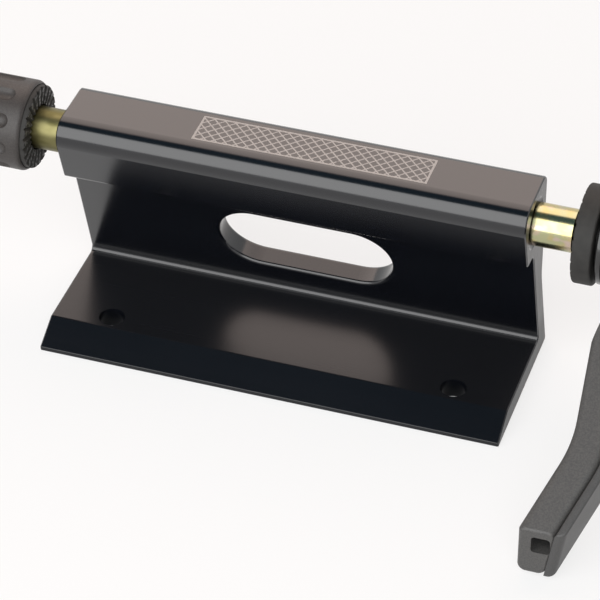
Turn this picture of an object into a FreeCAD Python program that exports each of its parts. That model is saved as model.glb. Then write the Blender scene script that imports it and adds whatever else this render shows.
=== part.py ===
"""Fork mount block with a quick-release skewer, written as one STEP per piece.

Frame: X runs along the axle, +Y points to the back, +Z up. The origin is the
middle of the underside of the foot. All sizes are millimetres.
"""
import FreeCAD, Part
import math
import os
from FreeCAD import Vector

# ---- bracket: an extruded section with a foot, a leaning web and a nose bar ----
FORK_SPACING = 100.0        # between the two end faces, the width of a front hub
FOOT_DEPTH = 37.5
FOOT_THICK = 4.4
BEVEL_RUN = 6.75            # depth of the slope along the front of the foot
FRONT_EDGE = 1.0            # upright edge left below that slope
WEB_LEAN = 0.31             # how far the web comes forward for each unit of height
WEB_ACROSS = 4.92           # thickness of the web, measured level
NOSE_TOP = 48.2             # height of the nose bar above the base
NOSE_HEIGHT = 15.2
NOSE_DEPTH = 12.9           # depth of the nose along its underside
NOSE_OVERHANG = 4.6         # how far the nose's underside stands out in front of the web
NOSE_LEAN = 0.335           # how far its front comes forward for each unit of height
END_CHAMFER = 0.25

# corner radii of the section, in order round it from the front of the foot
SOLE_ROUND = 0.3
HEEL_ROUND = 0.6
KNEE_ROUND = 12.0
BACK_ROUND = 2.5
BROW_ROUND = 4.0
CHIN_ROUND = 1.0
THROAT_ROUND = 2.5
CREASE_ROUND = 1.0
BEVEL_ROUND = 0.8

WINDOW_LENGTH = 38.0
WINDOW_ABOVE_FOOT = 7.3     # up the web, from the crease to the window
WINDOW_BELOW_NOSE = 5.75    # up the web, from the window to the nose
WINDOW_ROUND = 0.7

HOLE_INSET = 12.5           # from an end face to the hole's middle
HOLE_RADIUS = 2.75
HOLE_BACK = 3.4             # from the top of the bevel back to the hole's middle

# ---- axle ----
AXLE_DOWN = 7.2             # below the top of the nose
AXLE_IN = 8.2               # in front of the back of the nose
SLEEVE_RADIUS = 4.5         # a 9 mm front axle
SLEEVE_STICKS_OUT = 8.8
SLEEVE_FIT = 0.02
SLEEVE_CHAMFER = 0.4
BORE_CHAMFER = 1.1
ROD_RADIUS = 2.5
ROD_FIT = 0.08              # radial clearance of the rod in the sleeve and housing
THREAD_PITCH = 0.8
THREAD_DEPTH = 0.4
RUN_FIT = 0.05              # radial clearance of a shaft that turns or slides
PRESS_FIT = 0.02            # radial clearance of a piece that is pressed in

# ---- lever-side head, placed along the axle from its clamp face ----
HEAD_GAP = 9.65             # end face of the bracket to this clamp face, left for a dropout
HOUSING_RADIUS = 9.6
RING_PROUD = 0.6            # clamp ring outside the housing, radially
RING_THICK = 4.05
RING_ROUND = 0.4
GROOVE_WIDTH = 0.6
HOUSING_ROUND = 0.6
POCKET_GAP = 0.4            # radial room round the sleeve's end, in both clamp ends
POCKET_DEPTH = 3.0
SPIGOT_SETBACK = 0.75       # spigot end behind the clamp face
SPIGOT_WALL = 1.5
FLOOR_WALL = 2.2            # between the sleeve's pocket and the lever's slot
SLOT_GAP = 0.4              # round the lever's hub
SEAL_WIRE = 0.7
TEETH = 24
TOOTH_DEPTH = 0.45
TOOTH_HALF = 0.5

# ---- cam ----
CAM_THROW = 0.8
SHAFT_BIG = 3.6             # radius of the journal in the upper cheek
CAM_NECK = 2.6              # radius of the part that is off centre
SHAFT_SMALL = 2.4           # radius of the journal in the lower cheek
SHAFT_SETBACK = 0.6         # shaft end below the housing's crown
BUSH_SETBACK = 1.0          # bushing end below the shaft's end
BUSH_WALL = 0.8
FLANGE_THICK = 0.4
FLANGE_LIP = 1.0
SIDE_PLAY = 0.05
EYE_HALF = 2.0              # half the thickness of the rod's eye
EYE_PLAY = 0.3              # beside the eye, in the lever's fork
EYE_DRIFT = 0.17            # travel of the neck along the eye's short side
EYE_GAP = 1.3               # from the eye to the root of the lever's fork
LINER_WALL = 0.7
EYE_WALL = 1.5
PIN_RADIUS = 0.75
PIN_SETBACK = 0.3           # pin end below the hub's surface
DRIVER_SLOT = 1.0           # width of the slot across the shaft's end
DRIVER_DEPTH = 0.8

# ---- lever: t runs out from the cam shaft, x is measured from that shaft's axis ----
LEVER_ANGLE = 31.0          # degrees below level, pointing to the front
LEVER_HALF = 5.0            # half its width, along the cam shaft
HUB_RADIUS = 6.0
ARM_THICK = 7.2
COVER_THICK = 1.8
NECK_IN = -2.8              # inner face of the neck
NECK_END = 16.5
BLADE_START = 24.0
BLADE_IN = -4.35            # inner face of the blade at its start
BEND_START = 40.0
BEND_IN = -3.25
BEND_RADIUS = 26.0
BEND_TURN = 21.5            # degrees
TIP_REACH = 67.2            # cam shaft to the middle of the tip
TIP_IN = -8.7               # flat on the inner side of the tip
TIP_POCKET_EDGE = 2.6       # from that flat to the pocket in the arm's end
TIP_POCKET_LOW = 0.4        # above the middle of the end
TIP_POCKET_SIZE = 3.8
TIP_POCKET_DEEP = 5.0
TIP_POCKET_ROUND = 0.7
TIP_EDGE_ROUND = 0.8        # along the upper edge of the arm's end
COVER_GAP = 3.4             # from the housing's rounded end to the cover
ARM_ROUND = 1.6
COVER_ROUND = 0.5
TIP_ROUND = 1.6

# ---- adjusting knob, placed along the axle from its clamp face ----
KNOB_GAP = 6.8              # end face of the bracket to this clamp face
KNOB_RADIUS = 9.6
KNOB_LIP = 0.6              # rim of the knob round the clamp ring
KNOB_START = 0.9            # knob's near end behind the clamp face
KNOB_LENGTH = 15.8
KNOB_RIM = 1.4
COLLAR_LENGTH = 4.6
FLUTES = 10
FLUTE_RADIUS = 2.0
FLUTE_DEPTH = 0.9
NUT_RING_THICK = 1.4
NUT_RING_ROUND = 0.3
NUT_NECK_WALL = 2.5
NUT_NECK_LENGTH = 2.8
RING_GAP = 0.2              # between the clamp ring and the knob
CLIP_WIRE = 0.3
CLIP_PLAY = 0.1
CLIP_OPENING = 2.4
INSERT_WALL = 2.3
INSERT_FLAT_CUT = 0.4       # from the round of the insert to its flats
INSERT_LENGTH = 8.2
LOCK_SEAT_WALL = 1.1        # insert's wall round the locking ring
LOCK_LENGTH = 2.2
MOUTH_GAP = 1.6             # from the insert to the wall of the recess in the knob's end
ROD_TAIL = 1.2              # rod end past the insert
THREAD_SPARE = 6.6          # thread left between the insert and the plain shank

# ---- worked out from the sizes above ----
HALF = FORK_SPACING / 2
CHIN_Z = NOSE_TOP - NOSE_HEIGHT
LEAN_ANGLE = math.degrees(math.atan(WEB_LEAN))
X_AXIS = Vector(1, 0, 0)
Z_AXIS = Vector(0, 0, 1)
BIG = 200.0                 # past the end of everything, for cuts that go right through
SAME = 0.01                 # two places nearer than this are the same place


def web_front(z):
    """Y of the web's front face at a height."""
    return FOOT_DEPTH / 2 - WEB_ACROSS - WEB_LEAN * z


CHIN_Y = web_front(CHIN_Z) - NOSE_OVERHANG
NOSE_BACK = CHIN_Y + NOSE_DEPTH
AXLE_Y = NOSE_BACK - AXLE_IN
AXLE_Z = NOSE_TOP - AXLE_DOWN

HEAD_FACE = HALF + HEAD_GAP
RING_RADIUS = HOUSING_RADIUS + RING_PROUD
POCKET_RADIUS = SLEEVE_RADIUS + POCKET_GAP
SPIGOT_RADIUS = POCKET_RADIUS + SPIGOT_WALL
SPIGOT_START = HEAD_FACE + SPIGOT_SETBACK
POCKET_END = SPIGOT_START + POCKET_DEPTH
SLOT_FLOOR = POCKET_END + FLOOR_WALL
CAM_X = SLOT_FLOOR + SLOT_GAP + HUB_RADIUS
SLOT_HALF = LEVER_HALF + FLANGE_THICK + 2 * SIDE_PLAY
SHAFT_HALF = HOUSING_RADIUS - SHAFT_SETBACK
FORK_HALF = EYE_HALF + EYE_PLAY
EYE_X = CAM_X + CAM_THROW

LEVER_SEAT = BLADE_IN + ARM_THICK       # where the cover lies on the arm, as x
COVER_START = HOUSING_RADIUS + COVER_GAP

KNOB_FACE = HALF + KNOB_GAP
NUT_RING_RADIUS = KNOB_RADIUS - KNOB_LIP - RING_GAP
NUT_NECK_RADIUS = POCKET_RADIUS + NUT_NECK_WALL
CLIP_RADIUS = NUT_NECK_RADIUS + RUN_FIT
CLIP_DEPTH = NUT_RING_THICK + NUT_NECK_LENGTH / 2
INSERT_START = NUT_RING_THICK + RING_GAP + NUT_NECK_LENGTH
INSERT_END = INSERT_START + INSERT_LENGTH
INSERT_RADIUS = ROD_RADIUS + INSERT_WALL
LOCK_RADIUS = INSERT_RADIUS - LOCK_SEAT_WALL
MOUTH_RADIUS = INSERT_RADIUS + MOUTH_GAP


# ---- helpers ----
def rounded_face(corners):
    """Closed face from (point, radius) corners, each rounded by a tangent arc."""
    edges = []
    ends = []
    count = len(corners)
    for i in range(count):
        before = corners[i - 1][0]
        here, radius = corners[i]
        after = corners[(i + 1) % count][0]
        back = (before - here).normalize()
        ahead = (after - here).normalize()
        half_angle = back.getAngle(ahead) / 2
        reach = radius / math.tan(half_angle)
        start = here + back * reach
        end = here + ahead * reach
        if radius > 0:
            bisector = (back + ahead).normalize()
            middle = here + bisector * (radius / math.sin(half_angle) - radius)
            edges.append(Part.Arc(start, middle, end).toShape())
        ends.append((start, end))
    for i in range(count):
        edges.append(Part.LineSegment(ends[i][1], ends[(i + 1) % count][0]).toShape())
    return Part.Face(Part.Wire(Part.__sortEdges__(edges)))


def along_x(start, end, radius):
    """Solid cylinder on the X axis."""
    return Part.makeCylinder(radius, end - start, Vector(start, 0, 0), X_AXIS)


def tube_x(start, end, outer, inner):
    return along_x(start, end, outer).cut(along_x(start - 1, end + 1, inner))


def along_z(low, high, radius, x=0.0, y=0.0):
    return Part.makeCylinder(radius, high - low, Vector(x, y, low), Z_AXIS)


def block(low, high):
    size = high - low
    return Part.makeBox(size.x, size.y, size.z, low)


def ring_wire(x, ring_radius, wire_radius):
    """Round-section ring about the X axis."""
    return Part.makeTorus(ring_radius, wire_radius, Vector(x, 0, 0), X_AXIS)


def oval_z(half_x, half_y, low, high, x=0.0):
    """Upright prism with an oval plan, longer along Y than along X."""
    shift = half_y - half_x
    middle = block(Vector(x - half_x, -shift, low), Vector(x + half_x, shift, high))
    ends = [along_z(low, high, half_x, x, side * shift) for side in (-1, 1)]
    return middle.fuse(ends).removeSplitter()


def edges_where(shape, test):
    return [edge for edge in shape.Edges if test(edge)]


def rims_wider_than(shape, radius):
    """The round edges of a turned piece that are larger than a radius."""
    return edges_where(shape, lambda edge: hasattr(edge.Curve, "Radius") and edge.Curve.Radius > radius)


def on_axle(shape):
    """Move a piece made on the X axis to the axle's line."""
    return shape.translated(Vector(0, AXLE_Y, AXLE_Z))


def on_head(shape):
    """As on_axle, after turning the lever's own direction to where it points."""
    turned = shape.rotated(Vector(0, 0, 0), X_AXIS, LEVER_ANGLE)
    return on_axle(turned)


def save(name, shape):
    shape.exportStep("parts/%s.step" % name)
    print("%-18s solids %d  volume %.1f" % (name, len(shape.Solids), shape.Volume))


# ---- fixed pieces ----
def bracket_section():
    front = -FOOT_DEPTH / 2
    back = FOOT_DEPTH / 2
    brow = CHIN_Y - NOSE_LEAN * NOSE_HEIGHT
    knee = (back - NOSE_BACK) / WEB_LEAN
    outline = [
        (front, 0, SOLE_ROUND),
        (back, 0, HEEL_ROUND),
        (NOSE_BACK, knee, KNEE_ROUND),
        (NOSE_BACK, NOSE_TOP, BACK_ROUND),
        (brow, NOSE_TOP, BROW_ROUND),
        (CHIN_Y, CHIN_Z, CHIN_ROUND),
        (web_front(CHIN_Z), CHIN_Z, THROAT_ROUND),
        (web_front(FOOT_THICK), FOOT_THICK, CREASE_ROUND),
        (front + BEVEL_RUN, FOOT_THICK, BEVEL_ROUND),
        (front, FRONT_EDGE, SOLE_ROUND),
    ]
    return rounded_face([(Vector(-HALF, y, z), r) for y, z, r in outline])


def window_cutter():
    """Oval prism through the web, square to its front face."""
    lean = math.radians(LEAN_ANGLE)
    web_length = (CHIN_Z - FOOT_THICK) / math.cos(lean)
    radius = (web_length - WINDOW_ABOVE_FOOT - WINDOW_BELOW_NOSE) / 2
    shift = WINDOW_LENGTH / 2 - radius
    low = -WEB_ACROSS
    high = 2 * WEB_ACROSS
    middle = block(Vector(-shift, -radius, low), Vector(shift, radius, high))
    ends = [along_z(low, high, radius, side * shift) for side in (-1, 1)]
    prism = middle.fuse(ends).removeSplitter()
    prism.rotate(Vector(0, 0, 0), X_AXIS, -90 + LEAN_ANGLE)
    up = WINDOW_ABOVE_FOOT + radius
    y = web_front(FOOT_THICK) - up * math.sin(lean)
    z = FOOT_THICK + up * math.cos(lean)
    prism.translate(Vector(0, y, z))
    return prism


def is_window_edge(edge):
    """Edges round the two mouths of the window, and not the lines through the web."""
    box = edge.BoundBox
    along = box.XMax - box.XMin <= WINDOW_LENGTH and abs(box.Center.x) < WINDOW_LENGTH / 2
    through = box.YMax - box.YMin > WEB_ACROSS / 2 and box.XMax - box.XMin < SAME
    return along and not through and box.ZMin > FOOT_THICK + CREASE_ROUND and box.ZMax < CHIN_Z


def bracket():
    solid = bracket_section().extrude(Vector(FORK_SPACING, 0, 0))
    ends = edges_where(solid, lambda edge: abs(abs(edge.CenterOfMass.x) - HALF) < SAME)
    solid = solid.makeChamfer(END_CHAMFER, ends)
    solid = solid.cut(window_cutter())
    solid = solid.makeFillet(WINDOW_ROUND, edges_where(solid, is_window_edge))
    bore = SLEEVE_RADIUS + SLEEVE_FIT
    solid = solid.cut(on_axle(along_x(-BIG, BIG, bore)))
    for side in (-1, 1):
        face = Vector(side * HALF, 0, 0)
        mouth = Part.makeCone(bore + BORE_CHAMFER, bore, BORE_CHAMFER, face, X_AXIS * -side)
        solid = solid.cut(on_axle(mouth))
        hole_y = -FOOT_DEPTH / 2 + BEVEL_RUN + HOLE_BACK
        hole_x = side * (HALF - HOLE_INSET)
        solid = solid.cut(along_z(-1, FOOT_THICK + 1, HOLE_RADIUS, hole_x, hole_y))
    return solid


def axle_sleeve():
    reach = HALF + SLEEVE_STICKS_OUT
    tube = tube_x(-reach, reach, SLEEVE_RADIUS, ROD_RADIUS + ROD_FIT)
    return on_axle(tube.makeChamfer(SLEEVE_CHAMFER, rims_wider_than(tube, ROD_RADIUS + 1)))


# ---- lever-side head ----
def serrate(ring, face_x, inward, inner, outer):
    """Cut radial V grooves into a clamp face."""
    for i in range(TEETH):
        tip = Vector(face_x + inward * TOOTH_DEPTH, inner - 1, 0)
        left = Vector(face_x - inward * TOOTH_DEPTH, inner - 1, -2 * TOOTH_HALF)
        right = Vector(face_x - inward * TOOTH_DEPTH, inner - 1, 2 * TOOTH_HALF)
        groove = Part.Face(Part.makePolygon([tip, left, right, tip]))
        groove = groove.extrude(Vector(0, outer - inner + 2, 0))
        groove.rotate(Vector(0, 0, 0), X_AXIS, i * 360.0 / TEETH)
        ring = ring.cut(groove)
    return ring


def lever_clamp_ring():
    ring = tube_x(HEAD_FACE, HEAD_FACE + RING_THICK, RING_RADIUS, SPIGOT_RADIUS + PRESS_FIT)
    ring = ring.makeFillet(RING_ROUND, rims_wider_than(ring, SPIGOT_RADIUS + 1))
    return on_head(serrate(ring, HEAD_FACE, 1, SPIGOT_RADIUS, RING_RADIUS))


def housing_outline():
    """Cylinder along the axle whose outer end is rounded about the cam shaft."""
    start = HEAD_FACE + RING_THICK + GROOVE_WIDTH
    barrel = along_x(start, CAM_X + HOUSING_RADIUS, HOUSING_RADIUS)
    plan = block(Vector(start, -HOUSING_RADIUS, -HOUSING_RADIUS),
                 Vector(CAM_X, HOUSING_RADIUS, HOUSING_RADIUS))
    plan = plan.fuse(along_z(-HOUSING_RADIUS, HOUSING_RADIUS, HOUSING_RADIUS, CAM_X))
    body = barrel.common(plan).removeSplitter()
    rim = edges_where(body, lambda edge: edge.BoundBox.XMax - start < SAME)
    return body.makeFillet(HOUSING_ROUND, rim)


def bush_outer(shaft_radius):
    return shaft_radius + RUN_FIT + BUSH_WALL


def cam_housing():
    body = housing_outline().fuse(along_x(SPIGOT_START, SLOT_FLOOR, SPIGOT_RADIUS)).removeSplitter()
    slot = block(Vector(SLOT_FLOOR, -BIG, -SLOT_HALF), Vector(BIG, BIG, SLOT_HALF))
    body = body.cut(slot)
    body = body.cut(along_x(0, POCKET_END, POCKET_RADIUS))
    body = body.cut(along_x(0, SLOT_FLOOR + 1, ROD_RADIUS + ROD_FIT))
    upper = bush_outer(SHAFT_BIG) + PRESS_FIT
    lower = bush_outer(SHAFT_SMALL) + PRESS_FIT
    body = body.cut(along_z(0, BIG, upper, CAM_X))
    body = body.cut(along_z(-BIG, 0, lower, CAM_X))
    return on_head(body)


def rod_seal():
    """Round-section seal about the rod, on the floor of the sleeve pocket."""
    ring_radius = ROD_RADIUS + RUN_FIT + SEAL_WIRE
    return on_axle(ring_wire(POCKET_END - SEAL_WIRE, ring_radius, SEAL_WIRE))


def bushing(shaft_radius):
    """Flanged plain bearing for one end of the cam shaft, above the lever's fork."""
    inner = shaft_radius + RUN_FIT
    outer = bush_outer(shaft_radius)
    flange_end = SLOT_HALF - SIDE_PLAY
    flange_start = flange_end - FLANGE_THICK
    body = along_z(flange_start, SHAFT_HALF - BUSH_SETBACK, outer, CAM_X)
    body = body.fuse(along_z(flange_start, flange_end, outer + FLANGE_LIP, CAM_X))
    return body.removeSplitter().cut(along_z(0, BIG, inner, CAM_X))


def upper_bushing():
    return on_head(bushing(SHAFT_BIG))


def lower_bushing():
    return on_head(bushing(SHAFT_SMALL).rotated(Vector(0, 0, 0), X_AXIS, 180))


def cam_shaft():
    """Stepped shaft whose middle neck is set off its axis by the cam's throw."""
    big = along_z(FORK_HALF, SHAFT_HALF, SHAFT_BIG, CAM_X)
    neck = along_z(-FORK_HALF, FORK_HALF, CAM_NECK, EYE_X)
    small = along_z(-SHAFT_HALF, -FORK_HALF, SHAFT_SMALL, CAM_X)
    slot = block(Vector(0, -DRIVER_SLOT / 2, SHAFT_HALF - DRIVER_DEPTH),
                 Vector(BIG, DRIVER_SLOT / 2, BIG))
    shaft = big.fuse([neck, small]).removeSplitter().cut(slot)
    return on_head(shaft.cut(pin_shape(PIN_RADIUS + PRESS_FIT)))


def pin_shape(radius):
    """Bar along X through the middle of the fork's upper cheek."""
    reach = HUB_RADIUS - PIN_SETBACK
    start = Vector(CAM_X - reach, 0, (FORK_HALF + LEVER_HALF) / 2)
    return Part.makeCylinder(radius, 2 * reach, start, X_AXIS)


def lever_pin():
    return on_head(pin_shape(PIN_RADIUS))


# ---- skewer rod ----
def eye_slot(extra):
    """Half sizes, along X and Y, of the oval that the cam neck works in, plus a wall."""
    half_x = CAM_NECK + EYE_DRIFT + RUN_FIT + extra
    half_y = CAM_NECK + CAM_THROW + 2 * RUN_FIT + extra
    return half_x, half_y


def thread_profile():
    """Half section of the threaded tail: a row of even crests and roots."""
    start = nut_x(INSERT_END + ROD_TAIL)
    root = ROD_RADIUS - THREAD_DEPTH
    turns = round((ROD_TAIL + INSERT_LENGTH + THREAD_SPARE) / THREAD_PITCH)
    points = [Vector(start, 0, 0), Vector(start, root, 0)]
    for i in range(turns):
        left = start + i * THREAD_PITCH
        points.append(Vector(left + 0.5 * THREAD_PITCH, ROD_RADIUS, 0))
        points.append(Vector(left + THREAD_PITCH, root, 0))
    end = start + turns * THREAD_PITCH
    points.append(Vector(end, 0, 0))
    points.append(points[0])
    return Part.Face(Part.makePolygon(points)), end


def skewer_rod():
    profile, plain_start = thread_profile()
    thread = profile.revolve(Vector(0, 0, 0), X_AXIS, 360)
    shank = along_x(plain_start, SLOT_FLOOR, ROD_RADIUS)
    flat = block(Vector(SLOT_FLOOR, -BIG, -EYE_HALF), Vector(BIG, BIG, EYE_HALF))
    flat = flat.common(along_x(SLOT_FLOOR, EYE_X, ROD_RADIUS))
    eye = oval_z(*eye_slot(LINER_WALL + EYE_WALL), -EYE_HALF, EYE_HALF, EYE_X)
    hole = oval_z(*eye_slot(LINER_WALL + PRESS_FIT), -BIG, BIG, EYE_X)
    rod = shank.fuse(flat).fuse([eye, thread]).removeSplitter().cut(hole)
    return on_head(rod)


def eye_liner():
    liner = oval_z(*eye_slot(LINER_WALL), -EYE_HALF, EYE_HALF, EYE_X)
    return on_head(liner.cut(oval_z(*eye_slot(0), -BIG, BIG, EYE_X)))


# ---- lever ----
def blade_side(offset):
    """Points down one side of the lever in (t, x), at an offset from its inner face.

    Returns the points before the bend, the arc's three points and the far end.
    """
    start_slope = (BEND_IN - BLADE_IN) / (BEND_START - BLADE_START)
    heading = math.atan(start_slope)
    turn = math.radians(BEND_TURN)
    centre_t = BEND_START + BEND_RADIUS * math.sin(heading)
    centre_x = BEND_IN - BEND_RADIUS * math.cos(heading)
    radius = BEND_RADIUS + offset

    def on_arc(share):
        angle = heading - turn * share
        return (centre_t - radius * math.sin(angle), centre_x + radius * math.cos(angle))

    bend_end = on_arc(1)
    down = heading - turn
    run = 2 * TIP_REACH
    far = (bend_end[0] + run * math.cos(down), bend_end[1] + run * math.sin(down))
    return on_arc(0), on_arc(0.5), bend_end, far


def to_lever(point):
    """(t, x) to the head's frame: t runs along -Y, x from the cam shaft."""
    return Vector(CAM_X + point[1], -point[0], -LEVER_HALF)


def line(a, b):
    return Part.LineSegment(a, b).toShape()


def strip(inner_root, outer_root, inner_offset, outer_offset):
    """Slab of the lever between two offsets from its inner face, after its root's points."""
    inner = [to_lever(p) for p in blade_side(inner_offset)]
    outer = [to_lever(p) for p in blade_side(outer_offset)]
    inner_path = [to_lever(p) for p in inner_root] + [inner[0]]
    outer_path = [to_lever(p) for p in outer_root] + [outer[0]]
    edges = [line(inner_path[0], outer_path[0])]
    edges += [line(inner_path[i], inner_path[i + 1]) for i in range(len(inner_path) - 1)]
    edges += [line(outer_path[i], outer_path[i + 1]) for i in range(len(outer_path) - 1)]
    edges.append(Part.Arc(inner[0], inner[1], inner[2]).toShape())
    edges.append(Part.Arc(outer[0], outer[1], outer[2]).toShape())
    edges += [line(inner[2], inner[3]), line(outer[2], outer[3]), line(inner[3], outer[3])]
    face = Part.Face(Part.Wire(Part.__sortEdges__(edges)))
    return face.extrude(Vector(0, 0, 2 * LEVER_HALF))


def at_tip(shape):
    """Move a shape from beside the XZ plane to the lever's end, which is upright when fitted."""
    turned = shape.rotated(Vector(0, 0, 0), X_AXIS, -LEVER_ANGLE)
    return turned.translated(Vector(CAM_X + TIP_IN, -TIP_REACH, 0))


def cut_tip(shape):
    """Cut the lever's end off, and the inner side of its tip flat."""
    return shape.common(at_tip(block(Vector(0, 0, -BIG), Vector(BIG, BIG, BIG))))


def tip_pocket():
    """Square pocket that cores out the end of the arm."""
    low = Vector(TIP_POCKET_EDGE, -BIG, TIP_POCKET_LOW)
    box = block(low, low + Vector(TIP_POCKET_SIZE, BIG + TIP_POCKET_DEEP, TIP_POCKET_SIZE))
    corners = edges_where(box, lambda edge: edge.BoundBox.YLength > BIG)
    return at_tip(box.makeFillet(TIP_POCKET_ROUND, corners))


def long_edges(shape, x_test):
    """Edges that run down the lever's side, on its two broad faces."""
    def test(edge):
        box = edge.BoundBox
        on_side = box.ZMax - box.ZMin < SAME and abs(abs(box.Center.z) - LEVER_HALF) < SAME
        long = box.YMax - box.YMin > COVER_THICK
        return on_side and long and x_test(edge)
    return edges_where(shape, test)


def is_tip_upper_edge(edge):
    box = edge.BoundBox
    on_top = box.ZMin > LEVER_HALF - SAME
    return on_top and box.YMax < -BEND_START and box.YLength < SAME


def lever_arm():
    root = eye_slot(LINER_WALL + EYE_WALL)[1] + EYE_GAP
    neck_in = [(root, NECK_IN), (NECK_END, NECK_IN), (BLADE_START, BLADE_IN)]
    neck_out = [(root, LEVER_SEAT), (BLADE_START, LEVER_SEAT)]
    arm = cut_tip(strip(neck_in, neck_out, 0, ARM_THICK))
    blade = long_edges(arm, lambda edge: edge.BoundBox.YMax < SAME - BLADE_START)
    arm = arm.makeFillet(ARM_ROUND, blade)
    arm = arm.makeFillet(TIP_EDGE_ROUND, edges_where(arm, is_tip_upper_edge))
    hub = along_z(-LEVER_HALF, LEVER_HALF, HUB_RADIUS, CAM_X)
    cheeks = block(Vector(CAM_X + NECK_IN, -root, -LEVER_HALF),
                   Vector(CAM_X + LEVER_SEAT, 0, LEVER_HALF))
    arm = arm.fuse([hub, cheeks]).removeSplitter()
    gap = block(Vector(CAM_X - BIG, -root, -FORK_HALF), Vector(CAM_X + BIG, BIG, FORK_HALF))
    arm = arm.cut(gap)
    arm = arm.cut(along_z(0, BIG, SHAFT_BIG + PRESS_FIT, CAM_X))
    arm = arm.cut(along_z(-BIG, 0, SHAFT_SMALL + PRESS_FIT, CAM_X))
    arm = arm.cut(pin_shape(PIN_RADIUS + PRESS_FIT))
    return on_head(arm.cut(tip_pocket()))


def is_upright(face):
    """True for a face square to the lever's broad sides."""
    return abs(face.normalAt(0, 0).z) < SAME


def lever_cover():
    """Plate down the outer side of the arm, ending flush with the arm's tip."""
    inner_root = [(COVER_START, LEVER_SEAT)]
    outer_root = [(COVER_START, LEVER_SEAT + COVER_THICK)]
    plate = cut_tip(strip(inner_root, outer_root, ARM_THICK, ARM_THICK + COVER_THICK))
    seat = min((face for face in plate.Faces if is_upright(face)), key=lambda face: face.CenterOfMass.x)

    def is_outer(edge):
        return edge.distToShape(seat)[0] > COVER_THICK / 2

    def is_outer_tip(edge):
        box = edge.BoundBox
        across = box.ZMax - box.ZMin > LEVER_HALF
        return across and box.YMax < -(TIP_REACH + BEND_START) / 2 and is_outer(edge)

    plate = plate.makeFillet(TIP_ROUND, edges_where(plate, is_outer_tip))
    return on_head(plate.makeFillet(COVER_ROUND, long_edges(plate, is_outer)))


# ---- adjusting knob ----
def nut_x(depth):
    """X of a plane at a depth behind the knob's clamp face."""
    return -(KNOB_FACE + depth)


def knob_clamp_ring():
    ring = tube_x(nut_x(NUT_RING_THICK), nut_x(0), NUT_RING_RADIUS, POCKET_RADIUS)
    ring = ring.makeFillet(NUT_RING_ROUND, rims_wider_than(ring, POCKET_RADIUS + 1))
    ring = serrate(ring, nut_x(0), -1, POCKET_RADIUS, NUT_RING_RADIUS)
    neck_end = nut_x(NUT_RING_THICK + NUT_NECK_LENGTH)
    neck = tube_x(neck_end, nut_x(NUT_RING_THICK), NUT_NECK_RADIUS, POCKET_RADIUS)
    ring = ring.fuse(neck).removeSplitter()
    return on_axle(ring.cut(clip_groove()))


def clip_groove():
    """Groove for the snap ring, half in the clamp ring's neck and half in the knob."""
    return ring_wire(nut_x(CLIP_DEPTH), CLIP_RADIUS, CLIP_WIRE + CLIP_PLAY)


def ring_clip():
    """Open snap ring that keeps the clamp ring in the knob and lets it turn."""
    wire = ring_wire(nut_x(CLIP_DEPTH), CLIP_RADIUS, CLIP_WIRE)
    opening = block(Vector(-BIG, -CLIP_OPENING / 2, 0), Vector(BIG, CLIP_OPENING / 2, BIG))
    return on_axle(wire.cut(opening))


def knob_body():
    near = nut_x(KNOB_START)
    far = nut_x(KNOB_START + KNOB_LENGTH)
    body = along_x(far, near, KNOB_RADIUS)
    body = body.makeFillet(KNOB_RIM, edges_where(body, lambda edge: edge.BoundBox.XLength < SAME))
    depth_line = KNOB_RADIUS - FLUTE_DEPTH + FLUTE_RADIUS
    for i in range(FLUTES):
        flute = along_x(far - 1, near - COLLAR_LENGTH, FLUTE_RADIUS)
        flute = flute.fuse(Part.makeSphere(FLUTE_RADIUS, Vector(near - COLLAR_LENGTH, 0, 0)))
        flute.translate(Vector(0, 0, depth_line))
        flute.rotate(Vector(0, 0, 0), X_AXIS, (i + 0.5) * 360.0 / FLUTES)
        body = body.cut(flute)
    body = body.cut(along_x(nut_x(NUT_RING_THICK + RING_GAP), 0, NUT_RING_RADIUS + RING_GAP))
    body = body.cut(along_x(nut_x(INSERT_START), 0, NUT_NECK_RADIUS + 2 * RUN_FIT))
    body = body.cut(clip_groove())
    body = body.cut(insert_blank(PRESS_FIT))
    body = body.cut(along_x(far - 1, nut_x(INSERT_END), MOUTH_RADIUS))
    return on_axle(body)


def insert_blank(extra):
    """Outer shape of the threaded insert: a round bar with two flats."""
    bar = along_x(nut_x(INSERT_END), nut_x(INSERT_START), INSERT_RADIUS + extra)
    flats = INSERT_RADIUS - INSERT_FLAT_CUT + extra
    return bar.common(block(Vector(-BIG, -BIG, -flats), Vector(BIG, BIG, flats)))


def knob_insert():
    insert = insert_blank(0).cut(along_x(-BIG, 0, ROD_RADIUS + RUN_FIT))
    pocket = along_x(-BIG, nut_x(INSERT_END - LOCK_LENGTH), LOCK_RADIUS + PRESS_FIT)
    return on_axle(insert.cut(pocket))


def locking_ring():
    ring = tube_x(nut_x(INSERT_END), nut_x(INSERT_END - LOCK_LENGTH), LOCK_RADIUS, ROD_RADIUS + RUN_FIT / 2)
    return on_axle(ring)


PIECES = [
    bracket, axle_sleeve, skewer_rod, eye_liner,
    cam_housing, lever_clamp_ring, rod_seal, upper_bushing, lower_bushing,
    cam_shaft, lever_pin, lever_arm, lever_cover,
    knob_clamp_ring, ring_clip, knob_body, knob_insert, locking_ring,
]

os.makedirs("parts", exist_ok=True)
for piece in PIECES:
    save(piece.__name__, piece())
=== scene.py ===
# %% [markdown]
# # A fork mount block, finished in Blender
#
# The object is a small clamp for a bicycle's front fork. A black anodised bracket carries a hollow plated
# axle, and a skewer through the axle has a cam lever on one end and a knob on the other. Every piece is
# already modelled at its real size, so this lesson is about its finish: what each surface is made of, how
# it was machined or moulded, and how light shows that.

# %% Load the frame
import math

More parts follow.
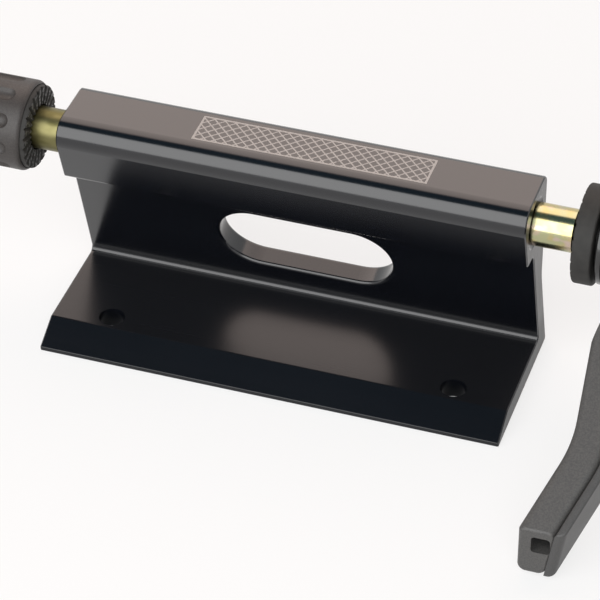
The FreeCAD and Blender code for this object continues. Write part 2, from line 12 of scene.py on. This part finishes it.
import bpy
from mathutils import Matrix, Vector


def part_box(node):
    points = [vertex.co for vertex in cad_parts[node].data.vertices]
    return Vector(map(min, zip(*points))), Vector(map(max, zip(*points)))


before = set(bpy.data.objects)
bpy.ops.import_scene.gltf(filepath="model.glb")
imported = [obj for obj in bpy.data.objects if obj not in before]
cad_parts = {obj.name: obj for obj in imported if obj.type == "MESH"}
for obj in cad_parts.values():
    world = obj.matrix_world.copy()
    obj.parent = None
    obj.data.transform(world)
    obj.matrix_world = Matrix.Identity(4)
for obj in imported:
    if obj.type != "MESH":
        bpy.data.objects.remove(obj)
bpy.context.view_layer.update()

MM = 0.001

# %% [markdown]
# ## A small language for materials
#
# A material is a graph of nodes, and most of that graph is arithmetic: this pattern plus that one, times a
# mask. Nodes can be placed by hand in the shader editor. In a script the same thing reads better as a sum,
# so `Value` wraps a number socket, and `+`, `-`, `*`, `<` and `abs` on it add the Math nodes.

# %% Values that can be added and multiplied
class Value:
    """A number that changes over a surface. Arithmetic on it adds Math nodes."""

    def __init__(self, graph, socket):
        self.graph = graph
        self.socket = socket

    def math(self, operation, *others):
        inputs = dict(enumerate((self,) + others))
        return self.graph.node("ShaderNodeMath", {"operation": operation}, inputs)

    def __add__(self, other):
        return self.math("ADD", other)

    def __sub__(self, other):
        return self.math("SUBTRACT", other)

    def __rsub__(self, other):
        return self.math("MULTIPLY_ADD", -1.0, other)

    def __mul__(self, other):
        return self.math("MULTIPLY", other)

    def __lt__(self, other):
        return self.math("LESS_THAN", other)

    def __abs__(self):
        return self.math("ABSOLUTE")

    __radd__ = __add__
    __rmul__ = __mul__


# %% [markdown]
# A `Graph` is any node tree: a material's or the world's. Its `node` method adds a node, sets it up, feeds
# its sockets with numbers or with other values, and gives back one output. `ramp` and `mix` are the two
# nodes that nearly every finish needs: a soft step, and a colour between two colours.

# %% Graphs
MIX_COLOURS = (6, 7)        # places of a Mix node's two colour inputs
MIX_RESULT = 2              # and of its colour output


class Graph:
    """A node tree, and the ways to add to it."""

    def __init__(self, tree):
        self.tree = tree

    def node(self, kind, settings=None, inputs=None, output=0):
        """Add a node, set it up, feed its sockets and give back one of its outputs."""
        node = self.tree.nodes.new(kind)
        for name, value in (settings or {}).items():
            setattr(node, name, value)
        for name, value in (inputs or {}).items():
            self.feed(node.inputs[name], value)
        return Value(self, node.outputs[output]) if node.outputs else None

    def feed(self, socket, value):
        """Link a value to a socket, or write a plain number or colour there."""
        if isinstance(value, Value):
            self.tree.links.new(value.socket, socket)
        else:
            socket.default_value = value

    def axes(self, vector):
        """The three parts of a vector, as values."""
        split = self.node("ShaderNodeSeparateXYZ", inputs={0: vector}).socket.node
        return [Value(self, split.outputs[i]) for i in range(3)]

    def ramp(self, value, low, high):
        """0 at `low`, 1 at `high`, and a smooth step between."""
        inputs = {"Value": value, "From Min": low, "From Max": high}
        return self.node("ShaderNodeMapRange", {"interpolation_type": "SMOOTHSTEP"}, inputs)

    def mix(self, share, first, second):
        """A colour between two colours."""
        blend = self.node("ShaderNodeMix", {"data_type": "RGBA"}, {"Factor": share}).socket.node
        for place, colour in zip(MIX_COLOURS, (first, second)):
            self.feed(blend.inputs[place], colour if isinstance(colour, Value) else (*colour, 1.0))
        return Value(self, blend.outputs[MIX_RESULT])


def grey(level):
    """A colour without a tint."""
    return (level, level, level)


# %% [markdown]
# A `Paint` is a material round one Principled shader. Its patterns read the object's own coordinates, in
# metres, so a blob of noise has a real size and stays where it is when the lever moves. What is the same
# all over a surface is set once, on the shader's own socket.

# %% Paints
class Paint(Graph):
    """One material, built around a Principled shader."""

    def __init__(self, name, **constants):
        self.material = bpy.data.materials.new(name)
        self.material.use_nodes = True
        super().__init__(self.material.node_tree)
        self.shader = self.tree.nodes["Principled BSDF"]
        for socket, value in constants.items():
            self.shader.inputs[socket.replace("_", " ")].default_value = value
        self.place = self.node("ShaderNodeTexCoord", output="Object")

    def set(self, socket, value):
        """Feed one of the shader's own sockets."""
        self.feed(self.shader.inputs[socket], value)

    def noise(self, size, detail, stretch=(1, 1, 1), offset=0.0):
        """Soft random pattern about 0.5, whose blobs are `size` metres across, times `stretch`."""
        scale = [1 / (size * share) for share in stretch]
        moved = self.node("ShaderNodeMapping", inputs={
            "Vector": self.place, "Location": (offset, offset, offset), "Scale": scale})
        return self.node("ShaderNodeTexNoise", inputs={"Vector": moved, "Scale": 1.0, "Detail": detail})

    def bump(self, height, depth):
        """Relief from a 0 to 1 height, `depth` metres deep."""
        return self.node("ShaderNodeBump", inputs={"Height": height, "Distance": depth, "Strength": 1.0})


def finish(node, paint):
    """Give a piece its material."""
    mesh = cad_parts[node].data
    mesh.materials.clear()
    mesh.materials.append(paint.material)
    print("%-17s %s" % (node, paint.material.name))


# %% [markdown]
# ## Black anodised aluminium
#
# The bracket is cut from an extruded bar. The die leaves faint streaks that run the whole length of the
# bar, etching before the anodising bath gives a fine satin grain, and the black dye sits under a hard clear
# oxide. So the colour is nearly black, and what the eye sees is reflection: a plastic-like shader with the
# oxide's refractive index, and a roughness that the streaks and a slow cloud disturb. A metallic shader
# would lose the black.
#
# Some areas differ from the rest. The end faces were sawn, so they are rougher, with fine lines that run up
# and down. The edges next to them have rubbed a little paler. A thin clear lacquer seals the nose bar and
# the web, and adds to what they mirror. The foot has none, except in its corner with the web, where some of
# it pooled. Each of these areas is a mask: a value that is 1 inside the area and 0 outside.

# %% Masks on the bracket
bracket_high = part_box("bracket")[1]
END_X = bracket_high.x
TOP_Z = bracket_high.z
END_SKIN = 0.05 * MM        # how near to an end face counts as that face
TOP_SKIN = 0.02 * MM
SAW_LINE = 0.22 * MM
SAW_REACH = 60              # a saw line is this many times as long as it is wide
FOOT_LEVEL = 5.0 * MM       # a little above the foot
POOL_EDGE = bracket_high.y - 7.92 * MM      # where the lacquer that pooled in the corner ends
print("bracket: ends at %.1f mm, top at %.1f mm" % (END_X / MM, TOP_Z / MM))


def from_end(paint):
    """Distance in from the nearer end face."""
    x = paint.axes(paint.place)[0]
    return END_X - abs(x)


def on_end(paint):
    """1 on the end faces."""
    return from_end(paint) < END_SKIN


def lacquered(paint):
    """0 on the end faces, and on the foot in front of its corner, and 1 elsewhere."""
    y, z = paint.axes(paint.place)[1:]
    bare_foot = (z < FOOT_LEVEL) * (y < POOL_EDGE)
    return (1 - bare_foot) * (1 - on_end(paint))


def sawn(paint):
    """Height of the saw's lines on the end faces, and 0 elsewhere."""
    lines = paint.noise(SAW_LINE, detail=2, stretch=(1, 1, SAW_REACH), offset=4)
    return on_end(paint) * lines


# %% [markdown]
# The top of the nose bar carries a light printed panel. It is a plain band of crossed lines inside a thin
# frame, of the kind that is printed only to break up a bare face. Two sets of parallel lines come from one
# wave each: the wave's phase is a sum of the coordinates, and what is above a threshold is ink. The frame
# is what lies between a smaller and a larger rectangle.

# %% Printed panel
PANEL_MIDDLE = Vector((3, 4.4)) * MM
PANEL_HALF = Vector((25.0, 4.2)) * MM
FRAME_LINE = 0.45 * MM
HATCH_PITCH = 2.3 * MM
HATCH_INK = 0.84            # a line is where its wave is higher than this
HATCH_SOFT = 0.06


def inside(x, y, margin):
    """1 inside the panel's rectangle, made smaller by a margin."""
    in_length = abs(x - PANEL_MIDDLE.x) < PANEL_HALF.x - margin
    in_depth = abs(y - PANEL_MIDDLE.y) < PANEL_HALF.y - margin
    return in_length * in_depth


def hatch(paint, phase):
    """Parallel lines, from a coordinate that runs across them."""
    wave = (phase * (2 * math.pi / HATCH_PITCH)).math("COSINE")
    return paint.ramp(wave, HATCH_INK - HATCH_SOFT, HATCH_INK + HATCH_SOFT)


def panel_ink(paint):
    """1 where the panel is printed: its frame, and the crossed lines inside it."""
    x, y, z = paint.axes(paint.place)
    lines = hatch(paint, x + y).math("MAXIMUM", hatch(paint, x - y))
    field = inside(x, y, FRAME_LINE)
    frame_line = inside(x, y, 0) - field
    top = 1 - (z < TOP_Z - TOP_SKIN)
    return (frame_line + field * lines) * top


# %% [markdown]
# The finish itself puts these together. The streaks and the grain go into the bump at a depth of a few
# thousandths of a millimetre, which is enough to soften a reflection and too little to see as relief.

# %% Anodised finish
OXIDE_IOR = 1.42
SATIN = 0.14                # roughness of the plain oxide
LACQUER = 0.65
LACQUER_IOR = 1.5
LACQUER_ROUGHNESS = 0.16
DYE_DEEP = (0.0012, 0.0016, 0.0032)
DYE_PALE = (0.0030, 0.0038, 0.0064)
RUBBED = (0.030, 0.031, 0.034)
PRINT = (0.42, 0.40, 0.385)
STREAK = 0.30 * MM
STREAK_REACH = 500          # a streak is this many times as long as it is wide
GRAIN = 0.10 * MM
CLOUD = 14 * MM
PATCH = 1.2 * MM
EDGE_WEAR = 0.35 * MM
DUST_TOP = 12 * MM          # dust dulls the block from here down
DUST_FULL = 6 * MM
RELIEF = 0.004 * MM


def rubbed_edges(paint, patches):
    """1 in patches along the edges next to the end faces."""
    near_end = paint.ramp(from_end(paint), EDGE_WEAR, 0.0) * (1 - on_end(paint))
    return near_end * paint.ramp(patches, 0.40, 0.65)


def anodised():
    paint = Paint("black_anodised", IOR=OXIDE_IOR, Coat_IOR=LACQUER_IOR, Coat_Roughness=LACQUER_ROUGHNESS)
    streaks = paint.noise(STREAK, detail=2, stretch=(STREAK_REACH, 1, 1))
    grain = paint.noise(GRAIN, detail=2, offset=3)
    cloud = paint.noise(CLOUD, detail=2, stretch=(2, 1, 1), offset=7)
    patches = paint.noise(PATCH, detail=3, offset=9)
    saw = sawn(paint)
    ink = panel_ink(paint) * paint.ramp(patches, 0.18, 0.34)
    dye = paint.mix(cloud, DYE_DEEP, DYE_PALE)
    bare = paint.mix(rubbed_edges(paint, patches), dye, RUBBED)
    paint.set("Base Color", paint.mix(ink, bare, PRINT))
    dulled = 0.08 * paint.ramp(paint.axes(paint.place)[2], DUST_TOP, DUST_FULL)
    paint.set("Roughness", SATIN + 0.04 * streaks + 0.04 * cloud + dulled + 0.25 * saw + 0.22 * ink)
    paint.set("Coat Weight", LACQUER * lacquered(paint) * (1 - ink))
    paint.set("Normal", paint.bump(0.6 * streaks + 0.15 * grain + 2.0 * saw, RELIEF))
    return paint


finish("bracket", anodised())

# %% [markdown]
# ## Yellow zinc plate
#
# The axle is turned steel with a yellow chromate over its zinc. That film is thin enough to split light, so
# the yellow drifts to green and to pink in patches. Towards the knob's end the colour turns darker and
# greener, and the surface duller. Two slow noises pick between the colours of one metal, and a
# fine pattern that changes only along the axle gives the lathe's rings.

# %% Plated axle
ZINC_YELLOW = (0.50, 0.42, 0.20)
ZINC_GREEN = (0.42, 0.42, 0.25)
ZINC_PINK = (0.55, 0.43, 0.37)
ZINC_OLIVE = (0.12, 0.11, 0.045)
ZINC_DRAB = (0.18, 0.165, 0.075)
FILM_PATCH = 3.0 * MM
TINT_PATCH = 2.0 * MM
PALE_FROM_X = 30 * MM            # the colours stay bright from here to the lever's end
DARK_FROM_X = -30 * MM          # and turn dark olive from here to the knob's end
FILM_WANDER = 12 * MM       # how far the patches shift these borders
RING = 0.12 * MM
RING_ROUND = 4000           # blobs stretched this much across the axle make rings that run right round
RING_DEPTH = 0.002 * MM


def turned_lines(paint, pitch):
    """Rings round the axle, as a lathe tool leaves them."""
    return paint.noise(pitch, detail=1, stretch=(1, RING_ROUND, RING_ROUND), offset=5)


def yellow_zinc():
    paint = Paint("yellow_zinc", Metallic=1.0)
    film = paint.noise(FILM_PATCH, detail=1)
    tint = paint.noise(TINT_PATCH, detail=1, stretch=(2, 1, 1), offset=9)
    # 0 towards the lever's end and 1 towards the knob's end, where the colour turns dark olive and the
    # roughness rises
    towards_knob = paint.ramp(paint.axes(paint.place)[0] + FILM_WANDER * film, PALE_FROM_X, DARK_FROM_X)
    bright = paint.mix(paint.ramp(film, 0.40, 0.62), ZINC_YELLOW, ZINC_GREEN)
    bright = paint.mix(paint.ramp(tint, 0.54, 0.74), bright, ZINC_PINK)
    olive = paint.mix(paint.ramp(tint, 0.35, 0.60), ZINC_OLIVE, ZINC_DRAB)
    paint.set("Base Color", paint.mix(towards_knob, bright, olive))
    rings = turned_lines(paint, RING)
    paint.set("Roughness", 0.14 + 0.07 * rings + 0.20 * towards_knob)
    paint.set("Normal", paint.bump(rings, RING_DEPTH))
    return paint


finish("axle_sleeve", yellow_zinc())

# %% [markdown]
# ## Steel and bronze
#
# The skewer rod, the cam shaft and the small wires are bare steel, turned or drawn, with the fine stains
# that oil and fingers leave. The threaded insert and the rod's eye have bronze bearing surfaces, which are
# duller and mottled.

# %% Bare metals
STEEL_DULL = (0.50, 0.50, 0.50)
STEEL_BRIGHT = (0.62, 0.62, 0.63)
STEEL_RING = 0.15 * MM
STEEL_RING_DEPTH = 0.003 * MM
STEEL_STAIN = 4.0 * MM
BRONZE_DULL = (0.58, 0.40, 0.20)
BRONZE_BRIGHT = (0.72, 0.55, 0.30)
BRONZE_STAIN = 2.0 * MM


def bright_steel():
    paint = Paint("steel", Metallic=1.0)
    rings = turned_lines(paint, STEEL_RING)
    stain = paint.noise(STEEL_STAIN, detail=3, offset=2)
    paint.set("Base Color", paint.mix(stain, STEEL_DULL, STEEL_BRIGHT))
    paint.set("Roughness", 0.18 + 0.12 * rings + 0.06 * stain)
    paint.set("Normal", paint.bump(rings, STEEL_RING_DEPTH))
    return paint


def bronze():
    paint = Paint("bronze", Metallic=1.0)
    stain = paint.noise(BRONZE_STAIN, detail=4, offset=4)
    paint.set("Base Color", paint.mix(stain, BRONZE_DULL, BRONZE_BRIGHT))
    paint.set("Roughness", 0.25 + 0.15 * stain)
    return paint


steel = bright_steel()
for node in ("skewer_rod", "cam_shaft", "lever_pin", "ring_clip"):
    finish(node, steel)
bearing_bronze = bronze()
for node in ("eye_liner", "knob_insert"):
    finish(node, bearing_bronze)

# %% [markdown]
# ## Blackened steel clamp rings
#
# The two serrated rings bite into the fork. They are hardened and blackened to a dead matt, and the sharp
# tips of the serrations rub bright first. The tips lie in one plane, so the wear is a mask on the distance
# from that plane, broken up by noise.

# %% Clamp rings
WORN_DEPTH = 0.10 * MM      # how far down the serrations the wear reaches
WORN_PATCH = 0.8 * MM
WORN_TIP = grey(0.22)
BLACKING_IOR = 1.35
BLACKING_DEEP = grey(0.014)
BLACKING_BROWN = (0.042, 0.041, 0.038)
MOTTLE = 1.6 * MM
MOTTLE_DEPTH = 0.010 * MM


def black_steel(name, tips_x):
    """Blackened steel whose tips lie at one place along the axle."""
    paint = Paint(name, IOR=BLACKING_IOR)
    x = paint.axes(paint.place)[0]
    patches = paint.noise(WORN_PATCH, detail=3, offset=6)
    worn = paint.ramp(abs(x - tips_x), WORN_DEPTH, 0.0) * paint.ramp(patches, 0.45, 0.65)
    mottle = paint.noise(MOTTLE, detail=4, offset=8)
    black = paint.mix(mottle, BLACKING_DEEP, BLACKING_BROWN)
    paint.set("Base Color", paint.mix(worn, black, WORN_TIP))
    paint.set("Roughness", 0.58 + 0.12 * mottle - 0.20 * worn)
    paint.set("Metallic", 0.8 * worn)
    paint.set("Normal", paint.bump(mottle, MOTTLE_DEPTH))
    return paint


head_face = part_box("lever_clamp_ring")[0].x
knob_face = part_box("knob_clamp_ring")[1].x
finish("lever_clamp_ring", black_steel("black_steel_lever_side", head_face))
finish("knob_clamp_ring", black_steel("black_steel_knob_side", knob_face))

# %% [markdown]
# ## Gloss paint, rubber and nylon
#
# The cam housing is dipped in gloss black paint, which dries with a faint orange peel. Rubber and natural
# nylon are matt: rubber is dark with a dusty bloom, and nylon is cream, a little waxy, and lets light in a
# short way, which subsurface scattering gives.

# %% Paint, rubber and nylon
PAINT_BLACK = grey(0.006)
PAINT_DUSTY = grey(0.014)
PAINT_DUST = 0.25 * MM
PEEL = 0.9 * MM
PEEL_DEPTH = 0.010 * MM
RUBBER_BLACK = grey(0.018)
RUBBER_BLOOM = grey(0.045)
BLOOM = 0.5 * MM
NYLON_CREAM = (0.76, 0.74, 0.66)
NYLON_WHITE = (0.84, 0.83, 0.77)
NYLON_CLOUD = 1.5 * MM
NYLON_GLOW = 0.4 * MM       # how far light spreads inside the nylon


def gloss_paint():
    paint = Paint("black_paint", IOR=1.5, Coat_Weight=0.4, Coat_Roughness=0.05)
    peel = paint.noise(PEEL, detail=1, offset=1)
    dust = paint.noise(PAINT_DUST, detail=2, offset=12)
    paint.set("Base Color", paint.mix(dust, PAINT_BLACK, PAINT_DUSTY))
    paint.set("Roughness", 0.20 + 0.08 * dust)
    paint.set("Normal", paint.bump(peel, PEEL_DEPTH))
    return paint


def rubber():
    paint = Paint("seal_rubber")
    bloom = paint.noise(BLOOM, detail=4, offset=2)
    paint.set("Base Color", paint.mix(bloom, RUBBER_BLACK, RUBBER_BLOOM))
    paint.set("Roughness", 0.55 + 0.2 * bloom)
    return paint


def nylon():
    paint = Paint("nylon", Subsurface_Weight=0.25, Subsurface_Scale=NYLON_GLOW)
    cloud = paint.noise(NYLON_CLOUD, detail=3, offset=5)
    paint.set("Base Color", paint.mix(cloud, NYLON_CREAM, NYLON_WHITE))
    paint.set("Roughness", 0.38 + 0.1 * cloud)
    return paint


finish("cam_housing", gloss_paint())
finish("rod_seal", rubber())
natural_nylon = nylon()
for node in ("upper_bushing", "lower_bushing", "locking_ring"):
    finish(node, natural_nylon)

# %% [markdown]
# ## Dark coat and moulded plastic
#
# The lever's arm is a casting under dark powder coat, and its cover and the knob are moulded plastic. Both
# are nearly black and look dark grey, because a fine texture scatters the light of the room at every
# angle. A coarse noise for the coat and a finer one for the plastic go into the bump, and the same noise
# lightens the high spots a little and darkens the dips, which is painted shade. Handling polishes broad
# patches smoother than the rest.

# %% Lever and knob
HANDLED_PATCH = 6 * MM


def textured(name, dark, light, cell, depth, roughness):
    """A nearly black, textured surface. A cell is one bump of the texture."""
    paint = Paint(name, IOR=1.5)
    texture = paint.noise(cell, detail=3, offset=3)
    handling = paint.noise(HANDLED_PATCH, detail=3, offset=8)
    # The texture's dips get the darker colour and its high spots the lighter one: painted shade in the dips.
    paint.set("Base Color", paint.mix(paint.ramp(texture, 0.3, 0.7), dark, light))
    paint.set("Roughness", roughness + 0.12 * handling)
    paint.set("Normal", paint.bump(texture, depth))
    return paint


# In each finish below, dark colours the texture's dips and light its high spots, so the dips carry painted
# shade.
powder_coat = textured(
    "lever_coat", dark=grey(0.050), light=(0.078, 0.076, 0.073),
    cell=0.35 * MM, depth=0.014 * MM, roughness=0.40)
cover_plastic = textured(
    "lever_plastic", dark=grey(0.045), light=grey(0.062),
    cell=0.22 * MM, depth=0.008 * MM, roughness=0.38)
knob_plastic = textured(
    "knob_plastic", dark=(0.022, 0.019, 0.018), light=(0.044, 0.039, 0.036),
    cell=0.26 * MM, depth=0.010 * MM, roughness=0.42)
finish("lever_arm", powder_coat)
finish("lever_cover", cover_plastic)
finish("knob_body", knob_plastic)

# %% [markdown]
# ## The floor
#
# A product like this is shown on white. The floor is a large sheet. To the camera and to a mirror it is
# mostly a white glow, mixed with a share of matt white that keeps the object's soft shadow. To all other
# light it is plain matt white. Under the foot it doesn't glow, so the screw holes look into the dark.

# %% Floor
FLOOR_SIZE = 6.0
FLOOR_GLOW = 0.75
FLOOR_WHITE = 0.94


def seen_directly(graph):
    """1 for what the camera sees straight, in a mirror or through glass."""
    path = graph.node("ShaderNodeLightPath").socket.node
    kinds = ("Is Camera Ray", "Is Glossy Ray", "Is Transmission Ray")
    camera, glossy, through = [Value(graph, path.outputs[kind]) for kind in kinds]
    return camera.math("MAXIMUM", glossy).math("MAXIMUM", through)


def under_foot(graph):
    """1 inside the outline of the bracket's foot."""
    place = graph.node("ShaderNodeTexCoord", output="Object")
    x, y = graph.axes(place)[:2]
    return (abs(x) < END_X) * (abs(y) < bracket_high.y)


def white_floor():
    """A sheet under the object."""
    bpy.ops.object.select_all(action="DESELECT")
    bpy.ops.mesh.primitive_plane_add(size=FLOOR_SIZE)
    floor = bpy.context.active_object
    floor.name = "floor"
    material = bpy.data.materials.new("floor_white")
    material.use_nodes = True
    graph = Graph(material.node_tree)
    graph.tree.nodes.clear()
    matt = graph.node("ShaderNodeBsdfDiffuse", inputs={"Color": (*grey(FLOOR_WHITE), 1.0)})
    glow = graph.node("ShaderNodeEmission", inputs={"Strength": 1.0})
    share = FLOOR_GLOW * seen_directly(graph) * (1 - under_foot(graph))
    surface = graph.node("ShaderNodeMixShader", inputs={"Fac": share, 1: matt, 2: glow})
    graph.node("ShaderNodeOutputMaterial", inputs={"Surface": surface})
    floor.data.materials.append(material)


white_floor()

# %% [markdown]
# ## The room
#
# The object's shape is drawn by what it mirrors, and its long surfaces all turn about the same line, so the
# room is laid out by the angle round that line. It is white from the horizon up, behind and in front, with a
# dark slot overhead. Flat faces that look up and back mirror the white and turn grey. Rounded edges, and
# the plated axle, pass from one side of the slot to the other and show it as a dark line. Matt surfaces
# can't show any of this, so they only get a plain fill.

# %% World
FILL = 0.10
SLOT_START = math.radians(77)       # angles up from the horizon behind, over the top
SLOT_END = math.radians(117)
SLOT_SOFT = math.radians(5)
SLOT_COLOUR = (0.06, 0.12, 0.16)
WHITE = grey(1.0)


def overhead_slot(graph):
    """1 inside the dark slot, with soft edges."""
    y, z = graph.axes(graph.node("ShaderNodeTexCoord", output="Generated"))[1:]
    angle = z.math("ARCTAN2", y)
    begun = graph.ramp(angle, SLOT_START - SLOT_SOFT, SLOT_START + SLOT_SOFT)
    not_over = graph.ramp(angle, SLOT_END + SLOT_SOFT, SLOT_END - SLOT_SOFT)
    return begun * not_over


def studio_world():
    """White for the camera, the slotted room for mirrors, and a plain fill for matt surfaces."""
    world = bpy.data.worlds.new("studio")
    bpy.context.scene.world = world
    world.use_nodes = True
    graph = Graph(world.node_tree)
    graph.tree.nodes.clear()
    room = graph.mix(overhead_slot(graph), WHITE, SLOT_COLOUR)
    lit = graph.mix(seen_directly(graph), grey(FILL), room)
    to_camera = graph.node("ShaderNodeLightPath", output="Is Camera Ray")
    colour = graph.mix(to_camera, lit, WHITE)
    sky = graph.node("ShaderNodeBackground", inputs={"Color": colour, "Strength": 1.0})
    graph.node("ShaderNodeOutputWorld", inputs={"Surface": sky})


studio_world()

# %% [markdown]
# ## The lamps
#
# Two large soft boxes stand on the two sides of that slot. The one behind is a little warm and the flat top
# mirrors it. The one in front is stronger, draws the highlight along the rounded brow of the nose bar, and
# lights the lever and the knob. An area lamp's power spreads over its surface, so a power worked out from
# a brightness and a size keeps the brightness when the size changes.

# %% Lamps
CENTRE = Vector((0, 0, 25 * MM))
LAMP_DISTANCE = 1.2
WARM_WHITE = (1.26, 0.95, 0.81)


def direction(azimuth, elevation):
    """Unit vector to a place round the object. Azimuth 0 is in front, and 90 is on the lever's side."""
    turn = math.radians(azimuth)
    lift = math.radians(elevation)
    return Vector((math.sin(turn) * math.cos(lift), -math.cos(turn) * math.cos(lift), math.sin(lift)))


def aim(thing, towards, distance, centre):
    """Stand a lamp or the camera off in a direction, looking back at a place."""
    thing.location = centre + towards * distance
    thing.rotation_euler = towards.to_track_quat("Z", "Y").to_euler()


def soft_box(name, azimuth, elevations, width, brightness, colour):
    """Rectangular lamp between two elevations. Its brightness is what a mirror would show."""
    low, high = elevations
    height = 2 * LAMP_DISTANCE * math.tan(math.radians(high - low) / 2)
    data = bpy.data.lights.new(name, "AREA")
    data.shape = "RECTANGLE"
    data.size = width
    data.size_y = height
    data.energy = brightness * math.pi * width * height
    data.color = colour
    lamp = bpy.data.objects.new(name, data)
    bpy.context.scene.collection.objects.link(lamp)
    aim(lamp, direction(azimuth, (low + high) / 2), LAMP_DISTANCE, CENTRE)
    lamp.visible_camera = False
    print("%-10s brightness %.2f, %.2f W" % (name, brightness, data.energy))


soft_box("back_box", azimuth=190, elevations=(26, 78), width=2.2, brightness=1.08, colour=WARM_WHITE)
soft_box("front_box", azimuth=-8, elevations=(4, 64), width=2.0, brightness=2.7, colour=WHITE)

# %% [markdown]
# ## The camera
#
# The camera stands in front and a little to the lever's side, well above the block, with a long lens, as
# for a catalogue. The knob and the lever run out of the frame.

# %% Camera
LOOK_AT = Vector((7.38, -18.04, 27.18)) * MM
CAMERA_DIRECTION = direction(18.2, 38.4)
CAMERA_DISTANCE = 664 * MM
LENS = 197.8                # both in millimetres of the camera's own parts, so without MM
SENSOR = 36.0
NEAREST = 0.01


def place_camera():
    data = bpy.data.cameras.new("camera")
    data.lens = LENS
    data.sensor_width = SENSOR
    data.clip_start = NEAREST
    camera = bpy.data.objects.new("camera", data)
    bpy.context.scene.collection.objects.link(camera)
    aim(camera, CAMERA_DIRECTION, CAMERA_DISTANCE, LOOK_AT)
    bpy.context.scene.camera = camera


place_camera()
bpy.context.scene.view_settings.view_transform = "Standard"
